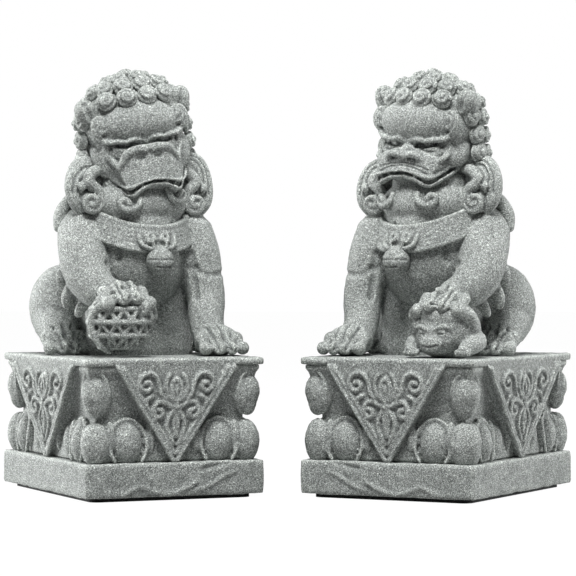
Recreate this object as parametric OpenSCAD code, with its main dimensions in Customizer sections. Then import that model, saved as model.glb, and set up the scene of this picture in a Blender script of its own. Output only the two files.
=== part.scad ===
// A pair of seated guardian lions in cast stone, each on its own lotus plinth.
// The male rests a paw on a pierced brocade ball, and the female rests one on her cub.
// Both are carved in one frame: x across the front, y to the back, z up, with the raised paw
// on the -x side. The female is its mirror image. Each carved form is cut by the ones that it
// grows out of, so the forms meet face to face.

/* [Pair] */
// Distance between the middles of the two plinths
pair_gap = 95; // [90:1:140]
// Turn of each lion towards the other, in degrees
turn_in = 26; // [0:1:35]

/* [Plinth] */
// Width of the plinth across its front
plinth_w = 57; // [56:0.5:62]
// Depth of the plinth from front to back
plinth_d = 77; // [76:0.5:84]
// Height of the plinth, from the table to the lion's feet
plinth_h = 42; // [40:0.5:46]
// Height of the top of the plain base slab
slab_h = 11.3; // [10:0.1:12]
// Thickness of the pad glued under the base
pad_t = 1.2; // [0.8:0.1:2]
// How far the pad's edge stands back from the base slab's
pad_inset = 3; // [2:0.5:6]
// Width of the cloth drape on the front, at its top
drape_w = 37; // [30:0.5:40]
// Width of the cloth drape on each long side, at its top
side_drape_w = 57; // [40:0.5:60]
// Width of the raised border of a drape
drape_border = 1.9; // [1.5:0.1:3]

/* [Lion] */
// Size of the head's curls
curl_r = 3; // [2.4:0.1:3.2]
// Radius of the brocade ball
ball_r = 10.5; // [10:0.1:10.8]
// Radius of the bell on the collar
bell_r = 4.2; // [3.5:0.1:4.6]
// Upward tilt of the male's head, in degrees
male_tilt = 12; // [6:1:14]
// Turn of the female's head, in degrees
female_yaw = 8; // [0:1:10]

/* [Hidden] */

stone = [0.56, 0.60, 0.58];
pad_grey = [0.16, 0.17, 0.17];

// Heights on the plinth, as shares of the carved band between the slab and the top
carved_h = plinth_h - slab_h;
lower_z = slab_h + 0.20 * carved_h;
waist_z = slab_h + 0.456 * carved_h;
upper_z = slab_h + 0.73 * carved_h;
neck_z = slab_h + 0.84 * carved_h;
lip_z = slab_h + 0.925 * carved_h;
petal_step = 22.5;

// Sides of the round forms: large, middling, small, and the smallest beads
big = 12;
mid = 8;
small = 6;
// Sides of the true rounds
round_n = 60;

// Masses of the seated body, each [x, y, z, radius] from the middle of the plinth's top
rump = [0, 19, 14, 15];
belly = [0, 3, 14, 15];
back = [0, 6, 24, 15.5];
chest = [0, -3, 33, 17];
throat = [0, -3, 46, 13];

// The straight foreleg and the raised one, from shoulder to paw
straight_leg = [[16.5, -8, 37, 9], [19, -10, 28, 7], [20, -13, 18, 5.6], [18, -17, 8, 5.2], [20, -25, 4, 4.6]];
raised_leg = [[-15.5, -6, 37, 9], [-18, -11.5, 29, 8.5], [-17, -16, 22, 7.5], [-14, -21.5, 20, 5.6]];
ball_at = [-12.4, -24.5, ball_r];
cub_at = [-14.6, -26, 9];
head_at = [0, -2, 66];
skull_at = [0, -3.5, 6];
skull = [16.4, 13.5, 12.8];
// Room left round an ear
ear_room = 5.4;

// Picks the male's or the female's value
function his_or_hers(who, his, hers) = who == "male" ? his : hers;

// How much of its full girth the skull has at a height over the eyes: it stays wide below
function girth(h) =
  h > skull_at[2] ? sqrt(1 - pow((h - skull_at[2]) / skull[2], 2)) : 1 - 0.0012 * pow(skull_at[2] - h, 2);

// A point on the skull at a height, az degrees round from the face; low down it leans back
function on_skull(az, h) =
  [skull[0] * girth(h) * sin(az), skull_at[1] + 0.2 * max(0, skull_at[2] - h) - skull[1] * girth(h) * cos(az), h];

// Stands one lion's shared frame in the pair: the female is mirrored
module figure(who) {
  side = his_or_hers(who, -1, 1);
  translate([side * pair_gap / 2, 0, 0])
    rotate([0, 0, -side * turn_in])
      mirror([his_or_hers(who, 0, 1), 0, 0])
        children();
}

// Lifts the lion's own frame on to the plinth and takes off what would sink into it
module on_plinth() {
  difference() {
    translate([0, 0, plinth_h]) children();
    translate([-plinth_w, -plinth_d, plinth_h - 60]) cube([2 * plinth_w, 2 * plinth_d, 60]);
  }
}

function unit(v) = v / norm(v);

// The direction of a route at one of its stations
function heading(route, i) =
  let (a = route[max(i - 1, 0)], b = route[min(i + 1, len(route) - 1)])
  unit([b[0] - a[0], b[1] - a[1], b[2] - a[2]]);

// A station past the end of a route, on the rounded end: share 0 is the end itself, 1 is its pole
function end_station(p, way, share) =
  [p[0] + way[0] * p[3] * sin(90 * share), p[1] + way[1] * p[3] * sin(90 * share),
    p[2] + way[2] * p[3] * sin(90 * share), p[3] * cos(90 * share)];

// A route with a rounded end put on at both ends
function rounded(route) =
  let (n = len(route) - 1, first = -heading(route, 0), last = heading(route, n))
  concat([end_station(route[0], first, 0.62)], route, [end_station(route[n], last, 0.62)]);

module ball_mass(p, n = mid) {
  translate([p[0], p[1], p[2]]) sphere(p[3], $fn = n);
}

// A flat ring of points square to the route at one station
module station(route, i, n, across) {
  way = heading(route, i);
  u = unit(cross(way, across));
  v = cross(way, u);
  c = [route[i][0], route[i][1], route[i][2]];
  polyhedron([for (k = [0:n - 1]) c + route[i][3] * (u * cos(360 * k / n) + v * sin(360 * k / n))],
    [[for (k = [0:n - 1]) k]]);
}

// A swelling mass with a radius each way
module mass(at, radii, n = mid) {
  hull() translate(at) scale(radii) sphere(1, $fn = n);
}

// A limb or a lock of hair: rings joined one to the next along a route of [x, y, z, radius]
module limb(route, n = mid, across = [1, 0.01, 0.02]) {
  whole = rounded(route);
  for (i = [0:len(whole) - 2]) {
    hull() {
      station(whole, i, n, across);
      station(whole, i + 1, n, across);
    }
  }
}

// A lock that winds in to a snail-shell end, flat in the plane that faces the viewer
module snail(at, r, turns, hand, n = small) {
  steps = 4;
  limb([for (i = [0:steps])
    let (a = 90 + hand * 360 * turns * i / steps, q = r * (1 - 0.75 * i / steps))
    [at[0] + q * cos(a), at[1] - 0.25 * i, at[2] + q * sin(a), 1.5 - 0.06 * i]], n, [0.01, 1, 0.02]);
}

// One snail curl of the mane, standing square on the skull: full at its foot, low crowned
module curl(az, h) {
  root = 1.4;
  way = [sin(az) / skull[0], -cos(az) / skull[1], max(0, h - skull_at[2]) / pow(skull[2], 2)];
  flat_way = norm([way[0], way[1]]);
  translate(on_skull(az, h)) rotate([0, atan2(flat_way, way[2]), atan2(way[1], way[0])]) translate([0, 0, -root])
    hull() cylinder(root + 0.6 * curl_r, curl_r, 0.66 * curl_r, $fn = small);
}

// Plinth

module slab(w, d, z0, z1, r = 0.8) {
  translate([0, 0, z0]) linear_extrude(z1 - z0) {
    square([w - 2 * r, d], center = true);
    square([w, d - 2 * r], center = true);
    for (x = [-1, 1], y = [-1, 1]) {
      translate([x * (w / 2 - r), y * (d / 2 - r)]) circle(r, $fn = 24);
    }
  }
}

module base_pad() {
  color(pad_grey) slab(plinth_w - 2 * pad_inset, plinth_d - 2 * pad_inset, 0, pad_t, 3);
}

module base_slab() {
  color(stone) slab(plinth_w, plinth_d, pad_t, slab_h);
}

module top_slab() {
  color(stone) slab(plinth_w, plinth_d, lip_z, plinth_h);
}

// Half outline of the waist: [how far it stands back from the slab's edge, height]
waist_line = [
  [3.4, slab_h], [3.8, lower_z + 1.5], [5.8, waist_z - 1], [5.8, waist_z + 1], [3.3, upper_z - 1],
  [2.2, neck_z], [1.7, lip_z]
];

// The whole outline for a side of this width, ready to be run along the other side
module waist_outline(w) {
  n = len(waist_line);
  polygon(concat(
    [for (i = [0:n - 1]) [-w / 2 + waist_line[i][0], waist_line[i][1]]],
    [for (i = [n - 1:-1:0]) [w / 2 - waist_line[i][0], waist_line[i][1]]]
  ));
}

module waist_core() {
  intersection() {
    rotate([90, 0, 0]) linear_extrude(plinth_d, center = true) waist_outline(plinth_w);
    rotate([90, 0, 90]) linear_extrude(plinth_w, center = true) waist_outline(plinth_d);
  }
}

// How wide a drape is at its tip, and how far down it hangs
drape_tip = 0.6;
drape_run = carved_h - (plinth_h - lip_z);

// The flat cloth of one drape against the -y side, from its tip up to a height over the slab
module cloth(w, stand, thick, run) {
  half = drape_tip + (w / 2 - drape_tip) * run / drape_run;
  translate([0, -stand + 4.8, slab_h]) rotate([90, 0, 0]) linear_extrude(thick)
    polygon([[-drape_tip, 0], [drape_tip, 0], [half, run], [-half, run]]);
}

// One cloth drape with the raised border on it
module drape(w, stand) {
  cloth(w, stand, 3.7, drape_run);
  translate([0, -stand + 1.11, slab_h]) rotate([90, 0, 0]) linear_extrude(0.61) {
    for (s = [-1, 1]) {
      polygon([[0, 0], [s * drape_tip, 0], [s * w / 2, drape_run], [s * (w / 2 - drape_border * 1.3), drape_run],
        [0, drape_border * 1.8]]);
    }
    translate([-w / 2 + 1.4, drape_run - 1.5]) square([w - 2.8, 1.5]);
  }
}

module all_drapes() {
  for (turn = [0, 180]) {
    rotate([0, 0, turn]) drape(drape_w, plinth_d / 2 - 1);
    rotate([0, 0, turn + 90]) drape(side_drape_w, plinth_w / 2 - 1);
  }
}

// The room that the drapes take, right out in front of them and up past them: no petal shows there
module drape_room() {
  for (turn = [0, 180]) {
    rotate([0, 0, turn]) cloth(drape_w, plinth_d / 2 - 1, 8, drape_run + 1);
    rotate([0, 0, turn + 90]) cloth(side_drape_w, plinth_w / 2 - 1, 8, drape_run + 1);
  }
}

module drapes() {
  color(stone) all_drapes();
}

module waist() {
  color(stone) difference() {
    waist_core();
    all_drapes();
  }
}

// One lotus petal: a full egg-shaped lobe, w across and from z0 to z1
module petal(at, w, z0, z1) {
  translate([at[0], at[1], (z0 + z1) / 2]) rotate_extrude($fn = 40)
    polygon([for (a = [-90:petal_step:90]) [w / 2 * cos(a), (z1 - z0) / 2 * sin(a)]]);
}

// Where the lobes of a row stand on the four sides: [x, y, width] for each [place, width] on a face
function petal_places(front, side) = concat(
  [for (s = [-1, 1], k = [-1, 1], p = front) [k * p[0], s * (plinth_d / 2 - p[1] / 2 - 0.6), p[1]]],
  [for (s = [-1, 1], k = [-1, 1], p = side) [s * (plinth_w / 2 - p[1] / 2 - 0.6), k * p[0], p[1]]]
);

module petal_row(front, side, z0, z1) {
  color(stone) difference() {
    for (at = petal_places(front, side)) {
      petal(at, at[2], z0, z1);
    }
    waist_core();
    drape_room();
    translate([-plinth_w, -plinth_d, 0]) cube([2 * plinth_w, 2 * plinth_d, slab_h]);
    // a hair under the lip, so that no thin skin is left between it and the waist's own top
    translate([-plinth_w, -plinth_d, lip_z - 0.02]) cube([2 * plinth_w, 2 * plinth_d, slab_h]);
  }
}

// The lobes are widest in the middle of a side, behind the tip of the drape
module lower_petals() {
  x = plinth_w / 2;
  y = plinth_d / 2;
  petal_row([[0, 12.4], [0.51 * x, 10.8], [0.87 * x, 8.6]],
    [[0, 10.8], [0.32 * y, 10.4], [0.62 * y, 10], [0.89 * y, 8.6]], slab_h - 1.5, waist_z);
}

// Over the waist only the corners have a pair of lobes, run together where they meet
module upper_petals() {
  petal_row([[plinth_w / 2 - 6.6, 8.6]], [[plinth_d / 2 - 7.9, 8.2]], waist_z + 1.8, lip_z + 1.2);
}

// Body and legs

module torso_form() {
  masses = [rump, belly, back, chest, throat];
  hull() {
    ball_mass(rump, big);
    ball_mass(belly, big);
    ball_mass(back, big);
  }
  for (i = [2:3]) {
    hull() {
      ball_mass(masses[i], big);
      ball_mass(masses[i + 1], big);
    }
  }
}

// Room round both shoulders, for the hair that lies against them
module shoulders() {
  for (leg = [straight_leg, raised_leg]) {
    hull() ball_mass(leg[0] + [0, 0, 0, 0.5], mid + 2);
  }
}

module torso() {
  color(stone) on_plinth() torso_form();
}

// A paw's toes, fanned round its front
module toes(at, r, spread, n = small) {
  for (i = [-1.5:1:1.5]) {
    hull() ball_mass([at[0] + spread * i, at[1] - 1 + 0.45 * i * i, at[2], r], n);
  }
}

// One hind leg: haunch, shin and a paw flat on the plinth
module hind_leg_form(who, side) {
  y = his_or_hers(who, 20, 13.4);
  mass([side * 14.6, y, 14.5], [10.4, 13, 13.4], big);
  limb([[side * 16.5, y - 4, 10, 8.6], [side * 19, y - 10, 7, 6.6], [side * 20.5, y - 16, 4, 4.2]]);
  toes([side * 21.3, y - 19, 2.4], 2, 2.9);
}

module hind_leg(who, side) {
  color(stone) on_plinth() difference() {
    hind_leg_form(who, side);
    torso_form();
    if (side < 0) raised_foreleg_form(who);
    if (side > 0) straight_foreleg_form();
  }
}

module straight_foreleg_form() {
  limb(straight_leg);
  // the elbow's fold, that closes the gap to the belly
  limb([[13.5, -5, 29, 7], [13, 1, 10, 8.6]]);
  toes([21, -29, 2.5], 2.2, 2.9);
}

// The raised foreleg bends over the ball or the cub, with its toes hooked over the front
module raised_foreleg_form(who) {
  top = his_or_hers(who, ball_at, cub_at);
  rise = his_or_hers(who, 9.4, 8);
  limb(raised_leg);
  limb([raised_leg[3], [top[0], top[1] - 1, top[2] + rise + 1.6, 4.4]]);
  for (i = [-1.5:1:1.5]) {
    hull() ball_mass([top[0] + 3.6 * i, top[1] - 5 + 0.5 * i * i, top[2] + rise, 2.5], small);
  }
  for (i = [0:2]) {
    hull() {
      ball_mass([-19 - 0.4 * i, -7 - i, 27 - 6 * i, 3.6], small);
      ball_mass([-22.5 + 0.4 * i, -6 - i, 23.5 - 5.5 * i, 1.8], small);
    }
  }
}

module straight_foreleg() {
  color(stone) on_plinth() difference() {
    straight_foreleg_form();
    torso_form();
  }
}

module raised_foreleg(who) {
  color(stone) on_plinth() difference() {
    raised_foreleg_form(who);
    torso_form();
    if (who == "male") ball_form();
    if (who == "female") cub_form();
  }
}

// Ball and cub

ball_rows = 4;
ball_columns = 13;
pit_r = 1.75;

// The faceted ball that the paw is cut by stands just outside the true one
module ball_form() {
  translate(ball_at) sphere(ball_r * 1.012, $fn = 22);
}

// The brocade ball: a net of bars between rings, with a pit in each triangle, point up and point down
module ball() {
  color(stone) translate([0, 0, plinth_h]) difference() {
    translate(ball_at) sphere(ball_r, $fn = round_n);
    translate(ball_at) {
      for (row = [0:ball_rows - 1], column = [0:2 * ball_columns - 1]) {
        up = column % 2 == 0;
        el = -38 + 24 * row + (up ? -2 : 2);
        az = 360 * column / (2 * ball_columns);
        rotate([0, -el, az])
          translate([ball_r - 1.1, 0, 0])
            rotate([0, 90, up ? 180 : 0])
              cylinder(3, pit_r * cos(el), pit_r * cos(el), $fn = 3);
      }
    }
  }
}

// The cub lies curled under the paw, its round head to the front
module cub_form() {
  x = cub_at[0];
  y = cub_at[1];
  mass([x, y, 8.6], [10, 9.2, 9.4]);
  mass([x + 2.5, y - 5.2, 7.8], [6.8, 5.4, 6.4]);
  mass([x + 2, y - 9.4, 5.2], [3.4, 2.2, 2.6], small);
  for (s = [-1, 1]) {
    hull() ball_mass([x + 2.5 + 5 * s, y - 6, 12.8, 1.9], small);
  }
  limb([[x - 7.5, y - 3, 9, 3.2], [x - 8.4, y - 5, 4, 2.8], [x - 7, y - 7.5, 2, 2.2]], small);
  limb([[x + 8, y - 1, 6, 3.2], [x + 8.4, y - 5, 2.4, 2.4]], small);
  limb([[x - 6, y + 6, 5, 4.2], [x - 8.6, y + 2, 3, 3.2]], small);
}

module cub() {
  color(stone) on_plinth() difference() {
    cub_form();
    torso_form();
  }
}

// Head

// Turns a head about the top of its neck: the male looks up and leans, the female looks aside
module posed_head(who) {
  translate(head_at)
    rotate([his_or_hers(who, -male_tilt, 0), his_or_hers(who, -10, -5), his_or_hers(who, 0, female_yaw)])
      children();
}

module head_form() {
  mass(skull_at, skull, big);
  mass([0, -1, -1], [16, 12, 12], big);
  // smooth bulging forehead, and the knotted brow under it with a bead at each side of its middle
  mass([0, -11, 7.2], [12.6, 7, 6.4], big);
  limb([[-13, -10, 6.8, 1.7], [-9.6, -13.4, 2.8, 1.9], [-3.6, -15.6, 2.4, 1.6], [3.6, -15.6, 2.4, 1.6],
    [9.6, -13.4, 2.8, 1.9], [13, -10, 6.8, 1.7]], small);
  for (x = [-2.7:2.7:2.7]) {
    hull() ball_mass([x, -14.4, 0.7, 1.3], small);
  }
  // cheeks
  for (s = [-1, 1]) {
    hull() {
      ball_mass([s * 9.2, -4, -4, 6.6]);
      ball_mass([s * 8.2, -9, -6.4, 4.6]);
    }
  }
  // broad boxy muzzle: a ridge arched along its top, and lips that droop at the corners
  for (s = [-1, 1]) {
    hull() {
      ball_mass([0, -14.2, -2.3, 1.9], small);
      ball_mass([s * 9, -15.2, -6.2, 1.9], small);
      ball_mass([s * 7.4, -15.6, -11.2, 1.7], small);
      ball_mass([0, -15.6, -8.2, 1.9], small);
      ball_mass([s * 9.4, -6, -4.6, 3.4], small);
    }
  }
  // nose with two nostril wings
  hull() {
    ball_mass([0, -14.6, -1.6, 2.2], small);
    ball_mass([-2, -16.4, -3.8, 1.9], small);
    ball_mass([2, -16.4, -3.8, 1.9], small);
  }
  for (s = [-1, 1]) {
    hull() ball_mass([s * 3.8, -16, -4.4, 1.8], small);
  }
}

module eye_balls() {
  for (s = [-1, 1]) {
    hull() ball_mass([s * 6, -11.8, -0.9, 3.2], mid);
  }
}

module head(who) {
  color(stone) on_plinth() difference() {
    posed_head(who) head_form();
    torso_form();
  }
}

module lower_jaw_form() {
  for (s = [-1, 1]) {
    hull() {
      ball_mass([0, -14.6, -11.4, 1.7], small);
      ball_mass([s * 7, -15, -12.8, 1.7], small);
      ball_mass([0, -9, -13, 2.2], small);
      ball_mass([s * 8.8, -4.4, -9, 3.2], small);
    }
  }
}

module lower_jaw(who) {
  color(stone) on_plinth() difference() {
    posed_head(who) lower_jaw_form();
    posed_head(who) head_form();
    torso_form();
  }
}

module eyes(who) {
  color(stone) on_plinth() difference() {
    posed_head(who) eye_balls();
    posed_head(who) head_form();
  }
}

ear_at = [15.6, -8.3, 13];

// A rounded leaf-shaped ear, laid against the side of the forehead
module ears_form() {
  for (s = [-1, 1]) {
    mass([s * 14.8, -7.8, 12.2], [3.3, 3, 4.8]);
  }
}

module ears(who) {
  color(stone) on_plinth() difference() {
    posed_head(who) ears_form();
    posed_head(who) head_form();
  }
}

// Rows of snail curls over the top, the sides and the back of the head: [height over the eyes,
// how far round from the face the row starts, number of curls]
curl_rows = [
  [-3.2, 86, 9], [2.1, 86, 9], [7.4, 84, 9], [12.2, 72, 9], [15.6, 0, 11], [18, 0, 5], [18.8, 0, 1]
];

module crown_form() {
  for (row = curl_rows, i = [0:row[2] - 1]) {
    full = row[1] == 0;
    az = full ? 360 * (i + 0.5) / row[2] : row[1] + (360 - 2 * row[1]) * i / (row[2] - 1);
    at = on_skull(az, row[0]);
    if (norm([abs(at[0]), at[1], at[2]] - ear_at) > ear_room) curl(az, row[0]);
  }
}

module crown_curls(who) {
  color(stone) on_plinth() difference() {
    posed_head(who) crown_form();
    posed_head(who) head_form();
    posed_head(who) ears_form();
    torso_form();
    side_locks_form();
    back_mane_form();
  }
}

// Locks down the nape and over the shoulders
module back_mane_form() {
  for (row = [0:2], i = [0:4 - row % 2]) {
    turn = -66 + 132 * i / (4 - row % 2);
    r = 12 + row;
    hull() {
      ball_mass([r * sin(turn), -2 + r * cos(turn), 57 - 6.5 * row, 3.6], small);
      ball_mass([(r + 3) * sin(turn), -2 + (r + 3) * cos(turn), 51.5 - 6.5 * row, 2.2], small);
    }
  }
  for (s = [-1, 1]) {
    hull() {
      ball_mass([s * 15, 5.5, 49, 3.6], small);
      ball_mass([s * 20.5, 4.6, 42, 2.2], small);
    }
  }
}

module back_mane(who) {
  color(stone) on_plinth() difference() {
    back_mane_form();
    torso_form();
    posed_head(who) head_form();
    breasted(who) collar_form();
    shoulders();
  }
}

// Ribbon locks that frame the neck: an outer and an inner ribbon each side, wound in at the end,
// with the mass of the mane behind them
module side_locks_form() {
  for (s = [-1, 1]) {
    mass([s * 16.4, -3, 52.4], [6, 4.6, 9]);
    limb([[s * 14, -3, 60, 2.6], [s * 20, -4.5, 58, 2.4], [s * 22.6, -6, 53, 2.3], [s * 21.6, -8.5, 47.5, 2.1]], small);
    snail([s * 17.4, -11, 45.6], 3.2, 1.1, -s);
  }
}

module side_locks(who) {
  color(stone) on_plinth() difference() {
    side_locks_form();
    torso_form();
    posed_head(who) head_form();
    posed_head(who) lower_jaw_form();
    shoulders();
    breasted(who) collar_form();
    back_mane_form();
  }
}

// Two small beard curls on the throat under the chin
module beard_form() {
  for (s = [-1, 1]) {
    limb([[s * 5.6, -14.4, 50.6, 1.2], [s * 6.8, -15.6, 47.4, 1.3], [s * 9.2, -15.2, 46, 1.4],
      [s * 10.3, -15, 48.4, 1.6]], small);
  }
}

module beard(who) {
  color(stone) on_plinth() difference() {
    breasted(who) beard_form();
    torso_form();
    posed_head(who) lower_jaw_form();
    posed_head(who) head_form();
    breasted(who) collar_form();
    side_locks_form();
  }
}

// Collar, bell and tail

// Turns what lies on a lion's breast to where the breast faces
module breasted(who) {
  translate([0, -3, 0]) rotate([0, 0, his_or_hers(who, 3, 12)]) translate([0, 3, 0]) children();
}

// A broad band with a raised edge each side, hung round the neck and low on the breast
module collar_form() {
  translate([0, -2.4, 43.4]) rotate([25, 0, 0]) scale([1, 1.16, 1]) rotate_extrude($fn = 20)
    polygon([[12, -3.4], [18, -3.4], [18.2, -2.4], [17.4, 2.2], [17.2, 3.2], [12, 3.2]]);
}

module collar(who) {
  color(stone) on_plinth() difference() {
    breasted(who) collar_form();
    torso_form();
    straight_foreleg_form();
    raised_foreleg_form(who);
    posed_head(who) head_form();
    posed_head(who) lower_jaw_form();
  }
}

bell_at = [0, -21.6, 31.4];

// A round bell with a slit across its mouth, on two short straps
module bell_form() {
  difference() {
    union() {
      hull() ball_mass([bell_at[0], bell_at[1], bell_at[2], bell_r], mid + 2);
      for (s = [-1, 1]) {
        limb([[s * 1.8, bell_at[1] + 0.6, bell_at[2] + 3.2, 0.9],
          [s * 2.1, bell_at[1] + 0.8, bell_at[2] + 5, 0.9]], small);
      }
    }
    translate([-bell_r, bell_at[1] - bell_r, bell_at[2] - 0.9]) cube([2 * bell_r, 1.4, 0.8]);
  }
}

module bell(who) {
  color(stone) on_plinth() difference() {
    breasted(who) bell_form();
    torso_form();
    breasted(who) collar_form();
    if (who == "female") cub_form();
  }
}

// The tail curls up the back in a flame with a lock each side
module tail_form() {
  limb([[0, 31, 6, 4], [0, 34, 14, 4.4], [0, 33, 22, 4], [0, 29, 29, 3], [0, 25.5, 34, 1.8]], mid);
  for (s = [-1, 1]) {
    limb([[s * 2, 32, 12, 3.4], [s * 6, 31, 17, 2.8], [s * 6.4, 28.5, 23, 1.8]], small);
  }
}

module tail(who) {
  color(stone) on_plinth() difference() {
    tail_form();
    torso_form();
    hind_leg_form(who, -1);
    hind_leg_form(who, 1);
  }
}

module male_base_pad() { figure("male") base_pad(); }
module male_base_slab() { figure("male") base_slab(); }
module male_waist() { figure("male") waist(); }
module male_lower_petals() { figure("male") lower_petals(); }
module male_upper_petals() { figure("male") upper_petals(); }
module male_drapes() { figure("male") drapes(); }
module male_top_slab() { figure("male") top_slab(); }
module male_torso() { figure("male") torso(); }
module male_right_hind_leg() { figure("male") hind_leg("male", -1); }
module male_left_hind_leg() { figure("male") hind_leg("male", 1); }
module male_right_foreleg() { figure("male") raised_foreleg("male"); }
module male_left_foreleg() { figure("male") straight_foreleg(); }
module male_ball() { figure("male") ball(); }
module male_head() { figure("male") head("male"); }
module male_lower_jaw() { figure("male") lower_jaw("male"); }
module male_eyes() { figure("male") eyes("male"); }
module male_ears() { figure("male") ears("male"); }
module male_crown_curls() { figure("male") crown_curls("male"); }
module male_back_mane() { figure("male") back_mane("male"); }
module male_side_locks() { figure("male") side_locks("male"); }
module male_beard() { figure("male") beard("male"); }
module male_collar() { figure("male") collar("male"); }
module male_bell() { figure("male") bell("male"); }
module male_tail() { figure("male") tail("male"); }
module female_base_pad() { figure("female") base_pad(); }
module female_base_slab() { figure("female") base_slab(); }
module female_waist() { figure("female") waist(); }
module female_lower_petals() { figure("female") lower_petals(); }
module female_upper_petals() { figure("female") upper_petals(); }
module female_drapes() { figure("female") drapes(); }
module female_top_slab() { figure("female") top_slab(); }
module female_torso() { figure("female") torso(); }
module female_left_hind_leg() { figure("female") hind_leg("female", -1); }
module female_right_hind_leg() { figure("female") hind_leg("female", 1); }
module female_left_foreleg() { figure("female") raised_foreleg("female"); }
module female_right_foreleg() { figure("female") straight_foreleg(); }
module female_cub() { figure("female") cub(); }
module female_head() { figure("female") head("female"); }
module female_lower_jaw() { figure("female") lower_jaw("female"); }
module female_eyes() { figure("female") eyes("female"); }
module female_ears() { figure("female") ears("female"); }
module female_crown_curls() { figure("female") crown_curls("female"); }
module female_back_mane() { figure("female") back_mane("female"); }
module female_side_locks() { figure("female") side_locks("female"); }
module female_beard() { figure("female") beard("female"); }
module female_collar() { figure("female") collar("female"); }
module female_bell() { figure("female") bell("female"); }
module female_tail() { figure("female") tail("female"); }

male_base_pad();
male_base_slab();
male_waist();
male_lower_petals();
male_upper_petals();
male_drapes();
male_top_slab();
male_torso();
male_right_hind_leg();
male_left_hind_leg();
male_right_foreleg();
male_left_foreleg();
male_ball();
male_head();
male_lower_jaw();
male_eyes();
male_ears();
male_crown_curls();
male_back_mane();
male_side_locks();
male_beard();
male_collar();
male_bell();
male_tail();
female_base_pad();
female_base_slab();
female_waist();
female_lower_petals();
female_upper_petals();
female_drapes();
female_top_slab();
female_torso();
female_left_hind_leg();
female_right_hind_leg();
female_left_foreleg();
female_right_foreleg();
female_cub();
female_head();
female_lower_jaw();
female_eyes();
female_ears();
female_crown_curls();
female_back_mane();
female_side_locks();
female_beard();
female_collar();
female_bell();
female_tail();
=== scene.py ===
import math

import bpy
import numpy as np
from mathutils import Matrix, Vector


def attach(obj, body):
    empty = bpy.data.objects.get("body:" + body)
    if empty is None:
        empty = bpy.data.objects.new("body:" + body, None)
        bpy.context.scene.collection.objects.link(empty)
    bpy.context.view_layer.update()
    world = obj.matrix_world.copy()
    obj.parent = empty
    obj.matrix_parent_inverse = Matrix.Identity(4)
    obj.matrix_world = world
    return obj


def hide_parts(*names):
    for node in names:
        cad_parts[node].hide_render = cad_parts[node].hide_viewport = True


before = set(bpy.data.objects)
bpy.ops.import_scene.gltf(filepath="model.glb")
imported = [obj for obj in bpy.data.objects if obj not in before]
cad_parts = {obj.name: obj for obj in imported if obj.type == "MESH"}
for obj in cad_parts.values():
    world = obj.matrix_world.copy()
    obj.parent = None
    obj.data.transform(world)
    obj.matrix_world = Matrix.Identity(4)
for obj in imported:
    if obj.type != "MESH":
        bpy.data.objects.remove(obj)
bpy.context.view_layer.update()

# The pads
# A thin dark pad is glued under each base, so that the stone doesn't scratch the shelf. It is the
# CAD's own solid, with the look of pressed rubber cork.
LIONS = ("male", "female")


def tones_at(marks):
    """A ramp with a tone at each of the given marks."""
    sort = n.new("ShaderNodeValToRGB")
    ramp = sort.color_ramp
    while len(ramp.elements) < len(marks):
        ramp.elements.new(0.5)
    for element, (at, tone) in zip(ramp.elements, marks):
        element.position = at
        element.color = (*tone, 1)
    return sort


pad_look = bpy.data.materials.new("pad")
pad_look.use_nodes = True
n, link = pad_look.node_tree.nodes, pad_look.node_tree.links
place = n.new("ShaderNodeTexCoord")
crumb = n.new("ShaderNodeTexNoise")
crumb.inputs["Scale"].default_value = 1500
crumb.inputs["Detail"].default_value = 3
tones = tones_at([(0.35, (0.012, 0.013, 0.013)), (0.7, (0.05, 0.053, 0.052))])
rise = n.new("ShaderNodeBump")
rise.inputs["Strength"].default_value = 0.5
rise.inputs["Distance"].default_value = 0.0002
n["Principled BSDF"].inputs["Roughness"].default_value = 0.85
link.new(place.outputs["Object"], crumb.inputs["Vector"])
link.new(crumb.outputs["Fac"], tones.inputs["Fac"])
link.new(tones.outputs["Color"], n["Principled BSDF"].inputs["Base Color"])
link.new(crumb.outputs["Fac"], rise.inputs["Height"])
link.new(rise.outputs["Normal"], n["Principled BSDF"].inputs["Normal"])
for who in LIONS:
    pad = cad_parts[who + "_base_pad"]
    pad.data.materials.clear()
    pad.data.materials.append(pad_look)

# The stone
# Each lion and its plinth are one casting of crushed stone in resin: light grey-green, full of
# dark and white grains, with painted shade in the cuts and a painted highlight on the edges.
stone = bpy.data.materials.new("cast_stone")
stone.use_nodes = True
n, link = stone.node_tree.nodes, stone.node_tree.links
skin = n["Principled BSDF"]
skin.inputs["Roughness"].default_value = 0.82
skin.inputs["Specular IOR Level"].default_value = 0.3
place = n.new("ShaderNodeTexCoord")


def grain(scale, detail, marks):
    """A noise of one scale, sorted into tones at the given marks."""
    noise = n.new("ShaderNodeTexNoise")
    noise.inputs["Scale"].default_value = scale
    noise.inputs["Detail"].default_value = detail
    noise.inputs["Roughness"].default_value = 0.6
    link.new(place.outputs["Object"], noise.inputs["Vector"])
    sort = tones_at(marks)
    link.new(noise.outputs["Fac"], sort.inputs["Fac"])
    return noise, sort


def times(tone, marked, share):
    """A tone multiplied by another, by this share."""
    mix = n.new("ShaderNodeMix")
    mix.data_type = "RGBA"
    mix.blend_type = "MULTIPLY"
    mix.inputs["Factor"].default_value = share
    # sockets 6 and 7 take the two colours
    link.new(tone, mix.inputs[6])
    link.new(marked.outputs["Color"], mix.inputs[7])
    return mix.outputs[2]


clouds = grain(90, 3, [(0.3, (0.24, 0.254, 0.246)), (0.7, (0.305, 0.32, 0.311))])[1]
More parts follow.
